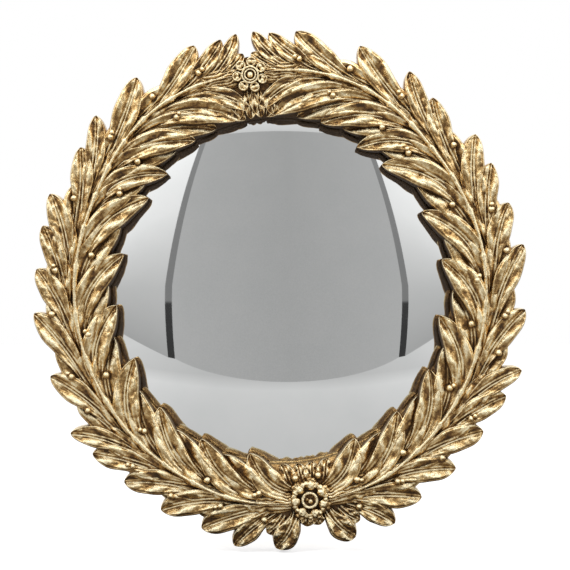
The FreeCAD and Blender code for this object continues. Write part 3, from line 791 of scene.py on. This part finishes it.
def floor_tone(tree):
    """White floor, brighter beside the cloth, with a painted shadow of the mirror over it."""
    near = span(tree, axis_of(tree, 1), -0.45, 0.0)
    # the last stop is the mirror's painted shadow on the floor close to it
    base = ramp(tree, near, [(0.0, 0.5), (0.38, 0.5), (0.5, 0.64), (0.86, 0.56), (0.92, 0.03)])
    aside = maths(tree, "ABSOLUTE", axis_of(tree, 0))
    gain = ramp(tree, span(tree, aside, 0.1, 0.4), [(0.0, 0.76), (1.0, 1.0)])
    return times(tree, base, times(tree, gain, FLOOR_GLOW))


def top_tone(tree):
    """Lit top of the tent, darker towards its far end."""
    tone = ramp(tree, span(tree, axis_of(tree, 1), -0.55, -0.2), [(0.0, 0.2), (0.35, 0.3), (0.7, 1.0)])
    return times(tree, tone, TOP_GLOW)


def strip_tone(tree):
    """Gap beside the cloth: nearly black at the foot, dark grey above."""
    high = span(tree, axis_of(tree, 2), FLOOR, TOP)
    return ramp(tree, high, [(0.0, 0.04), (0.19, 0.045), (0.2, 0.2), (1.0, 0.26)])


def cloth_point(across, up):
    """Point of the hung cloth: bowed forward at its foot, leaning away above."""
    x = LEFT + (RIGHT - LEFT) * across
    bow = (CLOTH_NEAR - CLOTH_Y) * (1 - (2 * across - 1) ** 2) * (1 - up) ** 3
    lean = LEAN_BACK * max(0.0, up - LEAN_FROM) / (1 - LEAN_FROM)
    return x, CLOTH_Y + bow + lean, FLOOR + (TOP - FLOOR) * up


def card(name, rows, finish):
    """Card of the tent from rows of points, seen by nothing but reflections."""
    mesh = bpy.data.meshes.new(name)
    points = [point for row in rows for point in row]
    mesh.from_pydata(points, [], grid_faces(len(rows), len(rows[0]), False))
    mesh.materials.append(finish)
    made = bpy.data.objects.new(name, mesh)
    bpy.context.scene.collection.objects.link(made)
    made.visible_camera = made.visible_diffuse = made.visible_shadow = False


ups = [i / CLOTH_STEPS for i in range(CLOTH_STEPS + 1)]
card("cloth", [[cloth_point(a, b) for a in ups] for b in ups], emissive("cloth", cloth_tone))
screen, strip_finish = emissive("screen", screen_tone), emissive("strip", strip_tone)
side_finish = emissive("side", side_tone)
for name, across, hand in (("left", 0, -1), ("right", 1, 1)):
    edge = [cloth_point(across, b) for b in ups]
    outside = [(x + hand * STRIP, y - STRIP_BEHIND, z) for x, y, z in edge]
    far = [(hand * SIDE, y - SCREEN_BEHIND, z) for x, y, z in edge]
    near = [(hand * SIDE, TENT_NEAR, z) for x, y, z in edge]
    card("strip_" + name, [edge, outside], strip_finish)
    card("screen_" + name, [outside, far], screen)
    card("side_" + name, [far, near], side_finish)
for name, height, close, tone in (("tent_top", TOP, TENT_NEAR, top_tone),
                                  ("tent_floor", FLOOR + CARD_LIFT, 0.0, floor_tone)):
    card(name, [[(-SIDE, TENT_FAR, height), (SIDE, TENT_FAR, height)],
                [(-SIDE, close, height), (SIDE, close, height)]], emissive(name, tone))


def pale_floor():
    """Wide pale floor that keeps the object's shadow and looks white round it."""
    mesh = bpy.data.meshes.new("floor")
    corners = (-1, -1), (1, -1), (1, 1), (-1, 1)
    mesh.from_pydata([(FLOOR_HALF * x, FLOOR_HALF * y, FLOOR) for x, y in corners], [], [(0, 1, 2, 3)])
    made, tree, shader = material("floor", Roughness=0.9)
    shader.inputs["Base Color"].default_value = (0.9, 0.9, 0.9, 1)
    seen = add(tree, "ShaderNodeLightPath").outputs["Is Camera Ray"]
    shader.inputs["Emission Color"].default_value = (1, 1, 1, 1)
    feed(tree, shader, Emission_Strength=maths(tree, "MULTIPLY", seen, FLOOR_SHINE))
    mesh.materials.append(made)
    floor = bpy.data.objects.new("floor", mesh)
    bpy.context.scene.collection.objects.link(floor)


pale_floor()


def world():
    """Soft even light; white where the camera, metal or glass look into it."""
    made = bpy.data.worlds.new("studio")
    bpy.context.scene.world = made
    made.use_nodes = True
    tree = made.node_tree
    back = tree.nodes["Background"]
    rays = add(tree, "ShaderNodeLightPath").outputs
    seen = maths(tree, "MAXIMUM", rays["Is Camera Ray"], rays["Is Glossy Ray"])
    seen = maths(tree, "MAXIMUM", seen, rays["Is Transmission Ray"])
    level = add(tree, "ShaderNodeMapRange", {"Value": seen, 3: AMBIENT, 4: 1.0}).outputs[0]
    back.inputs["Color"].default_value = (1, 1, 1, 1)
    tree.links.new(level, back.inputs["Strength"])


def lamp(name, place, size, power):
    """Large softbox aimed at the middle of the mirror."""
    data = bpy.data.lights.new(name, "AREA")
    data.shape, data.size, data.energy = "SQUARE", size, power
    made = bpy.data.objects.new(name, data)
    made.location = place
    aim = made.location.copy()
    aim.z -= MIDDLE
    made.rotation_euler = aim.to_track_quat("Z", "Y").to_euler()
    made.visible_glossy = False
    bpy.context.scene.collection.objects.link(made)


world()
lamp("key", (-0.7, -0.9, 0.7), 0.8, 9.0)
lamp("fill", (0.8, -0.8, 0.3), 0.8, 4.0)

camera_data = bpy.data.cameras.new("camera")
camera_data.lens, camera_data.sensor_width = CAMERA_LENS, 36.0
camera = bpy.data.objects.new("camera", camera_data)
camera.location = CAMERA_PLACE
camera.rotation_euler = (pi / 2, 0, 0)
bpy.context.scene.collection.objects.link(camera)
bpy.context.scene.camera = camera
bpy.context.scene.view_settings.view_transform = "Standard"
